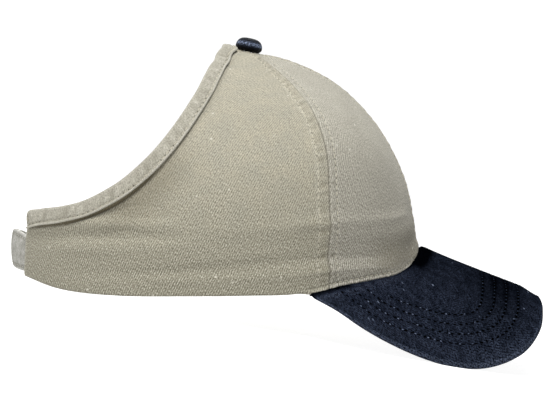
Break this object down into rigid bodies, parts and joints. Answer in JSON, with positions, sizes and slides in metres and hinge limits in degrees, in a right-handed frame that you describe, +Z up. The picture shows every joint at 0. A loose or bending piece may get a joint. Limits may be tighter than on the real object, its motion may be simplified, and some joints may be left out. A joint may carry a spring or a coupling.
{
  "type": "ponytail cap",
  "caption": "Cotton cap with a pale khaki crown, a dark navy peak and button, and a bound ponytail opening above a closing strap.",
  "frame": {"origin": "centre of the bounding box in X and Y, on the surface the cap rests on", "axes": "+X forward through the peak, +Y to the wearer's left, +Z up from the surface; the cap leans back on its own peak and the back of its rim"},
  "size_m": [0.2556, 0.16, 0.1309],
  "materials": {
    "crown_twill": "matt washed cotton twill",
    "binding_twill": "matt washed cotton twill, cut on the bias",
    "button_twill": "matt cotton twill stretched over a button",
    "peak_twill": "matt cotton twill over a stiff board",
    "strap_twill": "matt cotton twill"
  },
  "bodies": {
    "root": {"front_panel_right": "crown_twill", "front_panel_left": "crown_twill", "side_panel_right": "crown_twill", "side_panel_left": "crown_twill", "opening_binding": "binding_twill", "crown_button": "button_twill", "peak": "peak_twill", "strap_right": "strap_twill", "strap_left": "strap_twill"}
  },
  "joints": []
}
